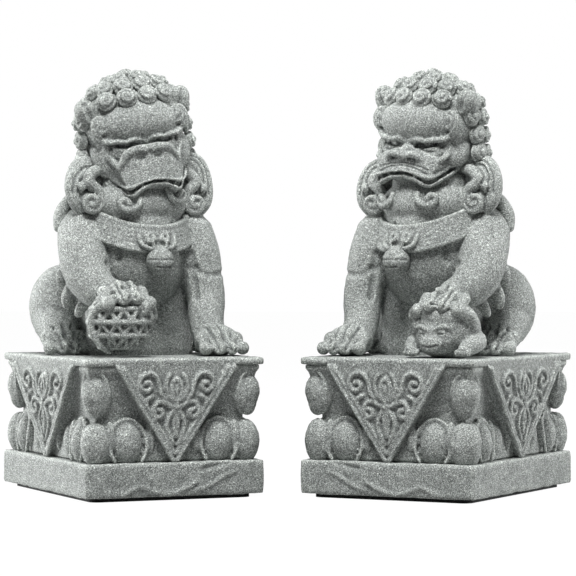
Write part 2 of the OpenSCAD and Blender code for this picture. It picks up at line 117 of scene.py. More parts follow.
# crushed stone: a random tone for each crystal, most of them near the middle
crystal = n.new("ShaderNodeTexVoronoi")
crystal.inputs["Scale"].default_value = 4600
link.new(place.outputs["Object"], crystal.inputs["Vector"])
lot = n.new("ShaderNodeSeparateColor")
link.new(crystal.outputs["Color"], lot.inputs["Color"])
greys = ((0.0, 0.3), (0.22, 0.66), (0.6, 1.0), (0.86, 1.38), (1.0, 2.3))
crystals = tones_at([(at, (grey, grey, grey)) for at, grey in greys])
link.new(lot.outputs["Red"], crystals.inputs["Fac"])
grit, grits = grain(4200, 2, [(0.38, (0.52, 0.53, 0.53)), (0.5, (1, 1, 1)), (0.64, (1.5, 1.5, 1.48))])
fines = grain(6500, 1, [(0.35, (0.66, 0.67, 0.67)), (0.65, (1.36, 1.36, 1.35))])[1]
# painted shade: darker in the cuts and creases, and a painted highlight: paler on the sharp edges, both from
# the skin's pointiness
shape = n.new("ShaderNodeNewGeometry")
crease_shade_edge_light = tones_at([(0.42, (0.26, 0.27, 0.27)), (0.497, (0.98, 0.98, 0.98)), (0.57, (1.5, 1.5, 1.48))])
link.new(shape.outputs["Pointiness"], crease_shade_edge_light.inputs["Fac"])
tone = times(clouds.outputs["Color"], crystals, 1)
tone = times(tone, grits, 1)
tone = times(tone, fines, 0.8)
tone = times(tone, crease_shade_edge_light, 0.9)
link.new(tone, skin.inputs["Base Color"])
rough = n.new("ShaderNodeBump")
rough.inputs["Strength"].default_value = 0.6
rough.inputs["Distance"].default_value = 0.0002
link.new(grit.outputs["Fac"], rough.inputs["Height"])
link.new(rough.outputs["Normal"], skin.inputs["Normal"])

# The plinths
# Under each lion are a plain slab, a band of lotus petals over a waist, and a thin slab that the
# lion sits on. They are cast in one with it, in the same stone, and worn soft at the edges. From
# here on all is made in millimetres, each lion facing the front.
PLINTH_W, PLINTH_D, PLINTH_H = 57, 77, 42
SLAB_H, LIP_Z, PAD_T = 11.3, 39.7, 1.2
WORN = 0.3
# how far apart the lions stand, in metres, and how far each is turned to the other, in degrees
APART, TURNED = 0.095, 26
parts = []


def cast(piece, who, nodes, lift=0):
    """Sets a finished piece down in its lion's place as stone, instead of the solids named."""
    side = -1 if who == "male" else 1
    stand = Matrix.Translation((side * APART / 2, 0, lift / 1000))
    turn = Matrix.Rotation(math.radians(-side * TURNED), 4, "Z")
    # the female is built as the male is, and mirrored
    size = Matrix.Diagonal((-0.001 if who == "female" else 0.001, 0.001, 0.001, 1))
    piece.data.transform(stand @ turn @ size)
    if who == "female":
        piece.data.flip_normals()
    piece.data.materials.clear()
    piece.data.materials.append(stone)
    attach(piece, who + "_lion")
    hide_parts(*[who + "_" + node for node in nodes])


def joined(name):
    """Joins all the parts to one piece."""
    bpy.ops.object.select_all(action="DESELECT")
    for part in parts:
        part.select_set(True)
    bpy.context.view_layer.objects.active = parts[0]
    bpy.ops.object.join()
    parts.clear()
    piece = bpy.context.object
    piece.name = name
    return piece


def altered(piece, kind, **settings):
    """Applies one modifier, with these settings, to a piece."""
    change = piece.modifiers.new(kind, kind)
    for name, value in settings.items():
        setattr(change, name, value)
    bpy.context.view_layer.objects.active = piece
    bpy.ops.object.modifier_apply(modifier=change.name)


def fuse(name, grid, ease):
    """Joins all the parts to one carved skin: remeshed on a grid and eased at the joins."""
    piece = joined(name)
    bpy.ops.object.transform_apply(location=True, rotation=True, scale=True)
    altered(piece, "REMESH", mode="VOXEL", voxel_size=grid, use_smooth_shade=True)
    altered(piece, "SMOOTH", factor=0.5, iterations=ease)
    return piece


def block(at, size):
    """A squared block."""
    bpy.ops.mesh.primitive_cube_add(size=1, location=at, scale=size)
    parts.append(bpy.context.object)


def ball(at, size, turn=(0, 0, 0)):
    """A round or egg-shaped mass, size its half-width each way."""
    size = (size, size, size) if isinstance(size, (int, float)) else size
    bpy.ops.mesh.primitive_uv_sphere_add(segments=28, ring_count=18, radius=1, location=at, scale=size,
                                         rotation=[math.radians(a) for a in turn])
    parts.append(bpy.context.object)


def shell(verts, faces):
    """A part made of its own points and faces."""
    mesh = bpy.data.meshes.new("shell")
    mesh.from_pydata([tuple(v) for v in verts], [], faces)
    part = bpy.data.objects.new("shell", mesh)
    bpy.context.collection.objects.link(part)
    parts.append(part)


def tube(rings, sides):
    """The faces of a tube through this many rings of points, closed at both ends."""
    faces = []
    for i in range(rings - 1):
        for k in range(sides):
            j = (k + 1) % sides
            faces.append((i * sides + k, i * sides + j, (i + 1) * sides + j, (i + 1) * sides + k))
    faces.append(tuple(range(sides))[::-1])
    faces.append(tuple(range((rings - 1) * sides, rings * sides)))
    return faces


def through(points, step):
    """A smooth line through the points, of any number of columns."""
    points = np.array(points, float)
    line = []
    for i in range(len(points) - 1):
        a, b = points[max(i - 1, 0)], points[i]
        c, d = points[i + 1], points[min(i + 2, len(points) - 1)]
        count = max(2, int(np.linalg.norm((c - b)[:3]) / step))
        for t in np.arange(count) / count:
            line.append(0.5 * (2 * b + (c - a) * t + (2 * a - 5 * b + 4 * c - d) * t * t
                               + (3 * b - a - 3 * c + d) * t ** 3))
    line.append(points[-1])
    return np.array(line)


def roll(points, flat=1.0, facing=(0.02, -1, 0.03), sides=12, step=0.6):
    """A rounded roll of stone along points of x, y, z and radius, flattened towards its facing."""
    line = through(points, step)
    heads = np.gradient(line[:, :3], axis=0)
    heads /= np.linalg.norm(heads, axis=1)[:, None] + 1e-9
    ends = []
    for share in (0.95, 0.75, 0.45):
        ends.append((math.sin(share * math.pi / 2), math.cos(share * math.pi / 2)))
    rows = [(line[0, :3] - heads[0] * line[0, 3] * s, line[0, 3] * c, heads[0]) for s, c in ends]
    rows += [(p[:3], p[3], h) for p, h in zip(line, heads)]
    rows += [(line[-1, :3] + heads[-1] * line[-1, 3] * s, line[-1, 3] * c, heads[-1])
             for s, c in reversed(ends)]
    verts = []
    for middle, r, head in rows:
        u = np.cross(head, facing)
        u /= np.linalg.norm(u) + 1e-9
        v = np.cross(u, head)
        for k in range(sides):
            a = 2 * math.pi * k / sides
            verts.append(middle + r * (u * math.cos(a) + flat * v * math.sin(a)))
    shell(verts, tube(len(rows), sides))


def cut(piece, points, width, depth):
    """Cuts a groove of this width and depth along a line, or raises a rib where depth is negative."""
    line = through(points, 0.7)[:, :3]
    line = np.array([piece.closest_point_on_mesh(Vector(p))[1] for p in line])
    mesh = piece.data
    spots = np.empty(len(mesh.vertices) * 3)
    mesh.vertices.foreach_get("co", spots)
    spots = spots.reshape(-1, 3)
    out = np.empty(len(mesh.vertices) * 3)
    mesh.vertices.foreach_get("normal", out)
    out = out.reshape(-1, 3)
    near = np.all((spots > line.min(axis=0) - width) & (spots < line.max(axis=0) + width), axis=1)
    at, best = spots[near], np.full(near.sum(), 1e9)
    for a, b in zip(line[:-1], line[1:]):
        run = b - a
        t = np.clip((at - a) @ run / (run @ run + 1e-12), 0, 1)
        best = np.minimum(best, np.linalg.norm(at - a - t[:, None] * run, axis=1))
    fall = np.clip(1 - (best / width) ** 2, 0, 1) ** 2
    spots[near] -= out[near] * (depth * fall)[:, None]
    mesh.vertices.foreach_set("co", spots.ravel())
    mesh.update()


def weather(piece, amount, size):
    """Wears a skin unevenly, as a rough mould leaves it."""
    texture = bpy.data.textures.new("weather", "CLOUDS")
    texture.noise_scale = size
    texture.noise_depth = 2
    altered(piece, "DISPLACE", texture=texture, texture_coords="LOCAL", strength=amount, mid_level=0.5)


# on the base's front: two low waves and a chip, as points along and up, width and depth
BASE_MARKS = [
    ([(-17, 2), (-12, 4.2), (-8, 3.2), (-3, 1.9), (3, 3.6), (6, 5.2)], 1.0, -0.5),
    ([(6, 3), (10, 4), (15, 6.8), (19, 8.2)], 0.9, -0.45),
    ([(9, 9.4), (13, 10.2), (16, 10.9)], 1.1, 0.7),
]
for who in LIONS:
    block((0, 0, (PAD_T + SLAB_H) / 2), (PLINTH_W - WORN, PLINTH_D - WORN, SLAB_H - PAD_T))
    slab = fuse(who + "_base_slab_stone", 0.62, 2)
    weather(slab, 0.5, 3.5)
    for mark, width, depth in BASE_MARKS:
        cut(slab, [(x, -PLINTH_D / 2, z) for x, z in mark], width, depth)
    cast(slab, who, ["base_slab"])

    block((0, 0, (LIP_Z + PLINTH_H) / 2), (PLINTH_W - WORN, PLINTH_D - WORN, PLINTH_H - LIP_Z))
    lip = fuse(who + "_top_slab_stone", 0.8, 1)
    weather(lip, 0.35, 3)
    cast(lip, who, ["top_slab"])

# The waist
# Between its slabs the plinth swells, narrows to a waist and swells again, in the same casting.
# The corner petals and the drapes are carved on it. It is built up here of thin square layers.
WAIST = [(SLAB_H, 3.2), (14, 3.2), (18.5, 3.6), (21.5, 4.4), (23.6, 5.0), (25.4, 5.0), (28.8, 4.2),
         (32.4, 3.1), (36, 2.4), (38.4, 1.6), (LIP_Z + 0.05, 1.0)]
LAYER = 1.3


def stand_back(z):
    """How far the waist stands back from the slab's edge at a height."""
    heights, backs = zip(*WAIST)
    return float(np.interp(z, heights, backs))


for who in LIONS:
    for _, _, z, back in through([(0, 0, z, back) for z, back in WAIST], 1):
        bpy.ops.mesh.primitive_cube_add(size=1)
        layer = bpy.context.object
        layer.scale = (PLINTH_W - 2 * back, PLINTH_D - 2 * back, LAYER)
        layer.location = (0, 0, min(max(z, SLAB_H + LAYER / 2), LIP_Z - 0.6))
        parts.append(layer)
    waist = fuse(who + "_waist_stone", 0.9, 2)
    cast(waist, who, ["waist"])

# The lotus petals
# A row of full egg-shaped lobes stands on the base slab, each in a raised rim, with smaller tips
# between them. Over the waist there is a pair of lobes at each corner only. All are cast with
# the plinth, in the same stone.
LOWER_FRONT = [(-25.1, 6.6), (-14.4, 10.4), (0, 12.4), (14.4, 10.4), (25.1, 6.6)]
LOWER_SIDE = [(-35.1, 6.6), (-25, 9.4), (-13.6, 9.6), (0, 10.8), (13.6, 9.6), (25, 9.4), (35.1, 6.6)]
LOWER_LOW, LOWER_TOP, UPPER_LOW, UPPER_TOP = SLAB_H - 1.2, 23.6, 25, 37.4
# half the depth of a lobe, and how far short of the plinth's corners the rims end
LOBE_DEEP = 4.4
RIM_END = 5
# the plinth's faces, in degrees round from the front, and its corners
FACES = (0, 180, 90, 270)
CORNERS = ((-1, -1), (1, -1), (-1, 1), (1, 1))
# the half-width of a drape's tip, and how wide the drape on each face is at its top
DRAPE_TIP = 0.8
DRAPE_WIDE = {0: 38.5, 180: 38.5, 90: 57, 270: 57}


def reach_of(face):
    """How far out from the plinth's middle a face lies."""
    return PLINTH_D / 2 if face % 180 == 0 else PLINTH_W / 2


def turned(face, along, out, z):
    """A point at a face: how far along it, how far out from the plinth's middle, and how high."""
    return Matrix.Rotation(math.radians(face), 4, "Z") @ Vector((along, -out, z))


def petal(face, along, wide, low, high, deep):
    """One lobe, set this deep in its face, with its rim where no drape or corner is in the way."""
    reach = reach_of(face)
    middle, tall = (low + high) / 2, high - low
    ball(turned(face, along, reach - deep - LOBE_DEEP, middle),
         (wide / 2 - 0.2, LOBE_DEEP, tall / 2 - 0.2), (0, 0, face))
    # a lobe that stands back behind a drape shows no rim
    if deep > 2:
        return
    rims, rim = [], []
    for a in range(-60, 241, 15):
        c, s = math.cos(math.radians(a)), math.sin(math.radians(a))
        x, z = along + (wide / 2 + 0.6) * c, middle + (tall / 2 + 0.5) * s
        edge = 2 * DRAPE_TIP + (DRAPE_WIDE[face] / 2 - DRAPE_TIP) * (z - SLAB_H) / (LIP_Z - SLAB_H)
        if abs(x) < edge or abs(x) > reach_of(face + 90) - RIM_END or z < SLAB_H:
            rims, rim = rims + [rim], []
        else:
            rim.append((*turned(face, x, reach - max(2.1, stand_back(z) - 1.2), z), 0.62))
    for rim in rims + [rim]:
        if len(rim) > 2:
            roll(rim, 1, turned(face, 0, 1, 0.01), 8)


for who in LIONS:
    for face in FACES:
        row = LOWER_FRONT if face % 180 == 0 else LOWER_SIDE
        # the lobes that a side drape hangs over stand back behind it
        hidden = 0 if face % 180 == 0 else 10
        for along, wide in row:
            # on the male one big lobe goes round each corner
            if who == "female" or wide > 7:
                deep = 2.2 if abs(along) - wide / 2 < hidden else 0.5
                petal(face, along, wide, LOWER_LOW, LOWER_TOP, deep)
        for a, b in zip(row[:-1], row[1:]):
            tip = turned(face, (a[0] + b[0]) / 2, reach_of(face) - 3.6, 18.4)
            ball(tip, (1.5, 1.8, 5.2), (0, 0, face))
    r = 4.4 if who == "male" else 3.9
    for x, y in CORNERS:
        ball((x * (PLINTH_W / 2 - WORN - r), y * (PLINTH_D / 2 - WORN - r), 16.8), (r, r, 6.6))
    lower = fuse(who + "_lower_petals_stone", 0.47, 1)
    weather(lower, 0.35, 2.5)
    cast(lower, who, ["lower_petals"])

    for face in FACES:
        for s in (-1, 1):
            petal(face, s * (reach_of(face + 90) - 4.1), 6.6, UPPER_LOW, UPPER_TOP, 0.7)
    for x, y in CORNERS:
        ball((x * 24.3, y * 34.3, 31.8), (3.8, 3.8, 5.2))
        ball((x * 24.3, y * 34.3, 28.6), (2.9, 2.9, 4.2))
    upper = fuse(who + "_upper_petals_stone", 0.47, 1)
    weather(upper, 0.35, 2.5)
    cast(upper, who, ["upper_petals"])

# The drapes
# A three-cornered cloth hangs over each side of the plinth, carved in the same stone. Its hem is
# a double bead, and a peony with scrolling leaves is raised on it.
DRAPE_TALL = LIP_Z - SLAB_H + 2
# the right half of the peony and its leaves: along the face, and up from the base slab
SCROLLS = [
    [(0, 17.6), (0.9, 19), (1.6, 21), (1.2, 23.4), (0, 24.6)],
    [(1.2, 18.2), (2.6, 19.8), (3.4, 22), (3, 24.4), (2.2, 25.6)],
    [(3.6, 18.6), (5, 20.4), (5.4, 22.6), (6.2, 24.8), (8.2, 26.2), (10.6, 25.6), (11.8, 23.6), (11, 21.6),
     (9.2, 21), (8, 22.2), (8.6, 23.6), (9.8, 23.4)],
    [(1.4, 16.4), (3.2, 17.4), (5.4, 17.8), (6.8, 16.6), (7, 14.6), (6, 13.2), (4.4, 13.8),
     (4.4, 15.2), (5.4, 15.6)],
    [(7.8, 19.4), (9.2, 18.6), (9.4, 17)],
    [(0.8, 15.4), (2.2, 13.2), (2.8, 10.6), (2, 8), (0.8, 5.4)],
    [(0, 14.6), (0.6, 11.6), (0, 7.6)],
]


def on_drape(face, u, v, out):
    """A point on a drape, which leans out to its top: along, up, and how far proud of it."""
    return turned(face, u, reach_of(face) - 1.8 + 1.7 * v / DRAPE_TALL + out, SLAB_H + v)


for who in LIONS:
    for face in FACES:
        wide, run = DRAPE_WIDE[face], LIP_Z - SLAB_H
        slant, spread = (wide / 2 - DRAPE_TIP) / run, 1 if wide < 40 else 1.45
        broad = DRAPE_TIP + slant * DRAPE_TALL
        corners = [(-DRAPE_TIP, 0.1), (DRAPE_TIP, 0.1), (broad, DRAPE_TALL), (-broad, DRAPE_TALL)]
        shell([on_drape(face, u, v, out) for out in (0.0, -4.4) for u, v in corners],
              [(0, 1, 2, 3), (7, 6, 5, 4), (4, 5, 1, 0), (5, 6, 2, 1), (6, 7, 3, 2), (7, 4, 0, 3)])
        way = turned(face, 0, 1, 0.01)
        for s in (-1, 1):
            for inner, r in ((0.4, 0.72), (1.9, 0.55)):
                lean = inner * math.hypot(1, slant)
                roll([(*on_drape(face, s * max(0.2, DRAPE_TIP + slant * v - lean), v, 0.4), r)
                      for v in (max(0.6, (lean - 0.6) / slant), run - 0.5)], 1, way, 8)
            for scroll in SCROLLS:
                roll([(*on_drape(face, s * u * spread, v, 0.4), 0.72) for u, v in scroll], 1.0, way, 8)
        ball(on_drape(face, 0, 16.4, 0.4), 1.1)
        ball(on_drape(face, 0, 21.4, 0.4), (0.8, 0.8, 1.8), (0, 0, face))
    drapes = fuse(who + "_drapes_stone", 0.4, 1)
    weather(drapes, 0.22, 2)
    cast(drapes, who, ["drapes"])

# The bodies
# Each lion sits on its haunches with one foreleg straight and the other raised. Body and legs are
# cast as one smooth, heavy form, with the toes as round knuckles. From here on heights are
# counted from the top slab.
STRAIGHT_LEG = [(16.4, -6, 37, 8.2), (18.2, -8.4, 31, 7.6), (19.4, -10.5, 24, 6.6), (20, -12.6, 17, 5.9),
                (18.8, -15.8, 10, 5.4), (19, -19.5, 5.4, 5.0), (20.4, -23.6, 4.2, 4.2)]
RAISED_LEG = [(-16.6, -4, 37.4, 8), (-18.4, -8.6, 31.4, 7.6), (-18.6, -13, 24.6, 7.0),
              (-17, -17.6, 20.4, 6.0), (-14.4, -21.6, 18.6, 4.8)]
# the tufts of hair behind the raised elbow, top to bottom
TUFTS = [
    [(-19.5, -8, 30.5, 2.6), (-22.6, -7.4, 28, 2.4), (-24.4, -7, 25, 2.2), (-24.6, -6.6, 22.4, 1.7)],
    [(-18.6, -11, 24, 2.6), (-22, -10, 21, 2.3), (-23.6, -9.4, 18, 2.1), (-23.8, -9, 15.6, 1.6)],
    [(-17, -15, 18.6, 2.2), (-20.2, -13.6, 15.6, 2.0), (-21.4, -13, 13, 1.5)],
]
# a paw's four toes and the three clefts between them, counted from its middle
TOES, CLEFTS = (-1.5, -0.5, 0.5, 1.5), (-1, 0, 1)
PAW_X = 19.6


def toe(knuckle, tip, r):
    """One toe: a high knuckle and a rounded end, with a waist between them."""
    k, t = np.array(knuckle, float), np.array(tip, float)
    roll([(*k, r), (*(0.5 * (k + t) - (0, 0, 0.3 * r)), r * 0.74), (*t, r)])


for who in LIONS:
    # torso, loins, belly and breast
    roll([(0, 21, 12, 13.5), (0, 14, 17, 15.5), (0, 6, 24, 16), (0, -1, 32, 16.6), (0, -3.4, 39, 15.6),
          (0, -3.4, 47, 13.2), (0, -3, 56, 11.8)], 1, (0, -1, 0.03), 28)
    ball((0, 20, 13), (16, 15, 14))
    ball((0, 4, 11), (14, 13, 14))
    roll([(0, -4, 31, 15), (1, -2.6, 20, 16.6), (2, -2, 10, 16.8), (2, -2, 2, 16.8)], 0.62, (0, -1, 0.03), 28)
    ball((0, -4.5, 30), (15.5, 15.2, 18))
    ball((0, -5, 36), (17.4, 13.8, 10.5))
    # the broad throat between the jaw and the collar
    ball((0, -6, 46), (15.4, 13.2, 9))
    ball((0, -6.4, 52), (12.4, 9.6, 7))
    roll(STRAIGHT_LEG, sides=20)
    roll(RAISED_LEG, sides=20)
    # the elbow's fold, that closes the gap between the straight leg and the belly
    roll([(13.5, -5, 29, 7.4), (14, -1, 18, 7.6), (14, 2, 8, 8)])
    ball((PAW_X, -21.6, 4.6), (7.0, 6, 5))
    for i in TOES:
        toe((PAW_X + 3.7 * i, -25.2 + 0.5 * i * i, 5.3), (PAW_X + 4.0 * i, -29.4 + 0.6 * i * i, 2.4), 2.2)
    # hind legs: round haunch, shin and paw, further back on the male
    back = 20 if who == "male" else 13.4
    for s in (-1, 1):
        ball((s * 14.6, back, 14.5), (10.2, 12.8, 13.3), (0, 0, -s * 8))
        roll([(s * 17, back - 3, 10, 8.4), (s * 19.4, back - 10, 6.5, 6.2), (s * 20.4, back - 15, 4, 4.2)])
        for i in TOES:
            toe((s * 20.4 + 3.4 * i, back - 17 + 0.4 * i * i, 5.4),
                (s * 20.6 + 3.6 * i, back - 21.4 + 0.5 * i * i, 2.4), 2.4)
    # the raised paw comes down on the ball or the cub
    x, y, z = (-12.4, -25.4, 18.0) if who == "male" else (-14.2, -26, 16.0)
    roll([(-14.4, -21.4, 18.8, 4.8), (x, y + 1.2, z + 0.4, 4.4)])
    for i in TOES:
        drop = 0.75 * i * i
        toe((x + 3.9 * i, y - 1.6 + 0.3 * i * i, z + 3.0 - drop),
            (x + 4.3 * i, y - 7.8 + 0.6 * i * i, z - 0.2 - drop), 2.2)
    # hair behind the elbow
    for tuft in TUFTS:
        roll(tuft, 0.8)
    body = fuse(who + "_body_stone", 0.5, 4)
    # the clefts between the toes of all four paws
    for i in CLEFTS:
        cut(body, [(PAW_X + 3.7 * i, -23, 9), (PAW_X + 3.8 * i, -26.6, 7.4), (PAW_X + 3.9 * i, -30, 5),
                   (PAW_X + 4 * i, -32, 1.4)], 1.0, 1.1)
        drop = 0.75 * i * i
        cut(body, [(x + 3.9 * i, y - 0.4, z + 6 - drop), (x + 4.1 * i, y - 4.6, z + 5 - drop),
                   (x + 4.2 * i, y - 8.4, z + 2.6 - drop), (x + 4.3 * i, y - 10.4, z - 0.8 - drop)], 1.0, 1.2)
        for s in (-1, 1):
            hind = s * 20.5 + 3.5 * i
            cut(body, [(hind, back - 14.6, 9), (hind, back - 18.4, 8), (hind, back - 21.6, 5.6),
                       (hind, back - 24.4, 1.6)], 1.0, 1.1)
    # the lower edge of each shoulder, and the elbow's fold
    cut(body, [(9, -19, 40), (12, -17.5, 33), (14.5, -15.5, 26), (14, -17, 18)], 1.8, 0.9)
    cut(body, [(-9.5, -19, 40), (-11.5, -18.4, 34), (-11.5, -18.6, 27)], 1.8, 0.9)
    cut(body, [(13, -16, 27), (19, -17, 24.5), (25, -12, 25)], 1.4, 0.5)
    weather(body, 0.3, 3)
    legs = ["right_hind_leg", "left_hind_leg", "right_foreleg", "left_foreleg"]
    cast(body, who, ["torso", *legs], PLINTH_H)

# The heads
# The forehead is a smooth pillow over a knotted brow. Deep-set eyes look out from under it, and
# the broad muzzle droops at both corners of the mouth. Each head is part of the casting: the
# male's leans to one side, and the female's is turned aside a little.
HEAD_AT = Vector((0, -2, 66))
# how far each head is turned aside, leant over and tilted back, in degrees
LOOKS = {"male": (-7, -10, -2), "female": (8, -5, 0)}


def loft(rings):
    """A closed shape through rings of points, each given as its right half from top to bottom."""
    verts = []
    for ring in rings:
        verts += [tuple(q) for q in ring] + [(-x, y, z) for x, y, z in ring[-2:0:-1]]
    shell(verts, tube(len(rings), 2 * len(rings[0]) - 2))


# how far down each face is drawn: heights as modelled, and as they are on the two heads
DRAWN = (-17, -12.5, -9.9, -0.4, 1, 7, 13, 17)
FACE = {"male": (-19, -15, -13.6, -2.9, -1.7, 4.1, 11, 17),
        "female": (-15.6, -11.9, -10.2, -2.9, -1.6, 5.0, 11.6, 17)}
# the muzzle: a broad box with a sharp arched ridge along its top, drooping at both corners
MUZZLE = [
    [(0, -17.6, -2.8), (3, -17.6, -3.2), (5.6, -17.4, -4.3), (7.6, -17.1, -5.9), (7.4, -17.5, -8),
     (6.3, -18, -10.2), (3.3, -18.4, -9.3), (0, -18.6, -8.6)],
    [(0, -15.9, -0.5), (4, -15.9, -1.0), (8, -15.7, -2.9), (10.9, -15.4, -5.2), (10.7, -16.2, -8.5),
     (9.2, -16.9, -12.5), (4.6, -17.6, -10.9), (0, -17.9, -9.9)],
    [(0, -11.5, -0.4), (4, -11.5, 0), (8, -11.5, -0.5), (11.6, -11.5, -3.4), (11.8, -11.5, -6.5),
     (10.6, -11.5, -9.4), (5, -11.5, -10), (0, -11.5, -10)],
    [(0, -5.5, 0), (5, -5.5, 0), (9, -5.5, 1), (12.8, -5.5, -0.4), (13, -5.5, -3.4), (12, -5.5, -5.8),
     (6, -5.5, -9), (0, -5.5, -9)],
]


def posed(piece, who):
    """Turns a piece made in the head's own frame about the top of the neck."""
    aside, over, back = [math.radians(a) for a in LOOKS[who]]
    look = Matrix.Rotation(aside, 4, "Z") @ Matrix.Rotation(over, 4, "Y") @ Matrix.Rotation(back, 4, "X")
    piece.data.transform(Matrix.Translation(HEAD_AT) @ look)


for who in LIONS:
    # skull, jaw and jowls
    ball((0, -3.5, 6), (16, 13.2, 12.4))
    ball((0, -1, -1), (15.6, 12, 12.4))
    for s in (-1, 1):
        ball((s * 8, 1, -4.5), (8.2, 9, 8.6))
    # the forehead's pillow, overhanging the eyes
    ball((0, -10.9, 6.9), (12.0 if who == "male" else 12.5, 7.0, 7.0))
    # on the male the muzzle's front edge stands higher and hides the nose's bridge
    high = 1.9 if who == "male" else 0
    loft([[(x, y, z + high * (z > -7)) for x, y, z in MUZZLE[0]]] + MUZZLE[1:])
    for s in (-1, 1):
        # cheekbone and eyeball
        ball((s * 10.6, -6.4, -3), (5, 5.6, 5.8))
        ball((s * 6.3, -12.4, -1.3), (4.0, 2.7, 2.9))
        # brow: a thin waved rim under the pillow that ends in a spiral at the temple
        roll([(s * 0.8, -15.6, 1.5, 0.6), (s * 3.4, -16.1, 2.0, 0.7), (s * 6, -15.8, 1.6, 0.6),
              (s * 8.6, -14.9, 2.1, 0.75), (s * 11, -13.4, 2.4, 0.8), (s * 13.2, -11, 4.4, 0.8)])
        spiral = [(a, 1 - a / 12) for a in np.arange(-1.2, 9.4, 0.5)]
        roll([(s * (12.2 + 2.4 * c * math.cos(a)), -12.6 - 0.06 * a, 7.4 + 2.8 * c * math.sin(a), 0.8)
              for a, c in spiral], 1, (0, -1, 0.05), 8)
        # the lower lid, and the ridge from the muzzle's corner up to the eye's outer end
        roll([(s * 2.5, -14.8, -1.2, 0.7), (s * 6.5, -15.1, -3.9, 0.8), (s * 10.2, -12.6, -1.6, 0.8),
              (s * 11.2, -10.9, 1.4, 0.7)])
        roll([(s * 11.2, -14.6, -4.8, 0.8), (s * 11.8, -12, -2.4, 1.0), (s * 11.4, -10, 1.6, 0.9)])
        # lip edges
        roll([(0, -18.2, -9.8, 0.8), (s * 4.6, -17.9, -10.8, 0.85), (s * 9.2, -17, -12.4, 0.95),
              (s * 11, -12, -8.8, 0.8), (s * 12.6, -6, -3.4, 0.8)])
        roll([(0, -17.2, -12.2, 1.0), (s * 4.6, -17.2, -13.2, 1.0), (s * 8.6, -16, -15, 1.15),
              (s * 11.2, -11.4, -11.4, 1.1), (s * 12.5, -5.5, -6.6, 1.1)])
        # nose wings
        nose = 0.5 if who == "male" else 1.25
        roll([(s * 1.3, -18.1, -4.0 + high, 1.1 * nose), (s * 3.6, -18.0, -3.4 + high, 1.4 * nose),
              (s * 5.4, -17.0, -4.8 + high, 1.0 * nose)])
        if who == "male":
            # the sharp front edge of the male's raised muzzle
            roll([(0, -17.6, -1.3, 1.1), (s * 4, -17.5, -1.3, 1.1), (s * 8, -16.7, -2.4, 1.1),
                  (s * 10.8, -15.1, -5.4, 1.1)])
    # the female's broad nose, with its bridge
    if who == "female":
        ball((0, -15.2, -1.6), (2.6, 2.6, 2.2))
        ball((0, -17.2, -3.9), (3.2, 2.1, 2.2))
    # three knots between the brows, and the chin
    for x in (-2.7, 0, 2.7):
        ball((x, -14.6 + 0.05 * x * x, 0.95), (1.25, 1.5, 1.0))
    ball((0, -9, -11.5), (9.5, 7.6, 4.2))
    head = fuse(who + "_head_stone", 0.36, 2)
    for s in (-1, 1):
        # nostril
        cut(head, [(s * 2.4, -18.6, -5.6 + high), (s * 3.9, -18.4, -5.7 + high)], 0.9,
            0.5 if who == "male" else 1.4)
        # slit under the forehead, eye, and the gap of the mouth
        cut(head, [(s * 2.6, -14.8, 0.2), (s * 6, -15.2, 0.4), (s * 10.4, -12.6, 1.6)], 1.1, 1.1)
        cut(head, [(s * 4.4, -14.8, -1.6), (s * 6.2, -15, -2.0), (s * 8.2, -14.2, -1.6)], 0.7, 0.4)
        cut(head, [(0, -18, -11), (s * 4.6, -17.8, -12), (s * 9, -16.8, -13.8), (s * 11.4, -11.6, -10.1),
                   (s * 12.8, -5.6, -5.0)], 0.9, 1.2)
        if who == "female":
            cut(head, [(0, -18.6, -7.6), (s * 4, -18.4, -8.4), (s * 8.2, -17.4, -10.6)], 0.6, 0.35)
            cut(head, [(0, -18.6, -6.6), (s * 4, -18.4, -7.2), (s * 8.4, -17, -9)], 0.6, 0.35)
    # the face is drawn down to this lion's own heights
    spots = np.array([v.co for v in head.data.vertices])
    share = np.clip((-4 - spots[:, 1]) / 5, 0, 1)
    if who == "male":
        # his muzzle is narrower
        spots[:, 0] *= 1 - 0.14 * np.clip((-9 - spots[:, 1]) / 5, 0, 1) * np.clip(-spots[:, 2] / 3, 0, 1)
    spots[:, 2] += share * (np.interp(spots[:, 2], DRAWN, FACE[who]) - spots[:, 2])
    head.data.vertices.foreach_set("co", spots.ravel())
    head.data.update()
    weather(head, 0.2, 2)
    posed(head, who)
    cast(head, who, ["head", "lower_jaw", "eyes"], PLINTH_H)

# The ears
# Two short leaf-shaped ears lie along the sides of the forehead, cupped towards the front. They
# are cast with the head, in the same stone.
for who in LIONS:
    for s in (-1, 1):
        ball((s * 14.6, -7.4, 11), (3.4, 3.1, 4.6), (0, s * 24, 0))
        ball((s * 14.8, -8.6, 12.4), (2.9, 2.3, 2.9), (0, s * 30, 0))
    ears = fuse(who + "_ears_stone", 0.36, 2)
    for s in (-1, 1):
        cut(ears, [(s * 14.0, -11.2, 9), (s * 14.8, -11.2, 11.6), (s * 15.6, -11, 14)], 1.4, 0.7)
    if who == "male":
        ears.data.transform(Matrix.Translation((0, 0, -1.6)))
    posed(ears, who)
    cast(ears, who, ["ears"], PLINTH_H)

# The curls
# The mane over the head is rows of snail curls, all of one pattern, each wound in to a raised
# eye. They stand on the skull from the forehead's edge down to the nape, and are cast with it.
# the middle of an ear, where no curl stands
EARS = Vector((15.6, -8.3, 13))
roll([(2.35 * math.cos(a) * (1 - a / 10.4), 2.35 * math.sin(a) * (1 - a / 10.4), 0.9 + 0.13 * a, 0.74)
      for a in np.arange(0, 9.6, 0.4)], 1, (0.02, 0.03, 1), 8)
ball((0, 0, 0.1), (2.8, 2.8, 1.3))
snail = fuse("snail", 0.25, 1)
altered(snail, "DECIMATE", ratio=0.36)
pattern = snail.data.copy()
bpy.data.objects.remove(snail)
# the skull that they stand on: its half-sizes, and the height of its widest place
SKULL_W, SKULL_D, SKULL_H, SKULL_Z = 16.4, 13.5, 12.8, 6
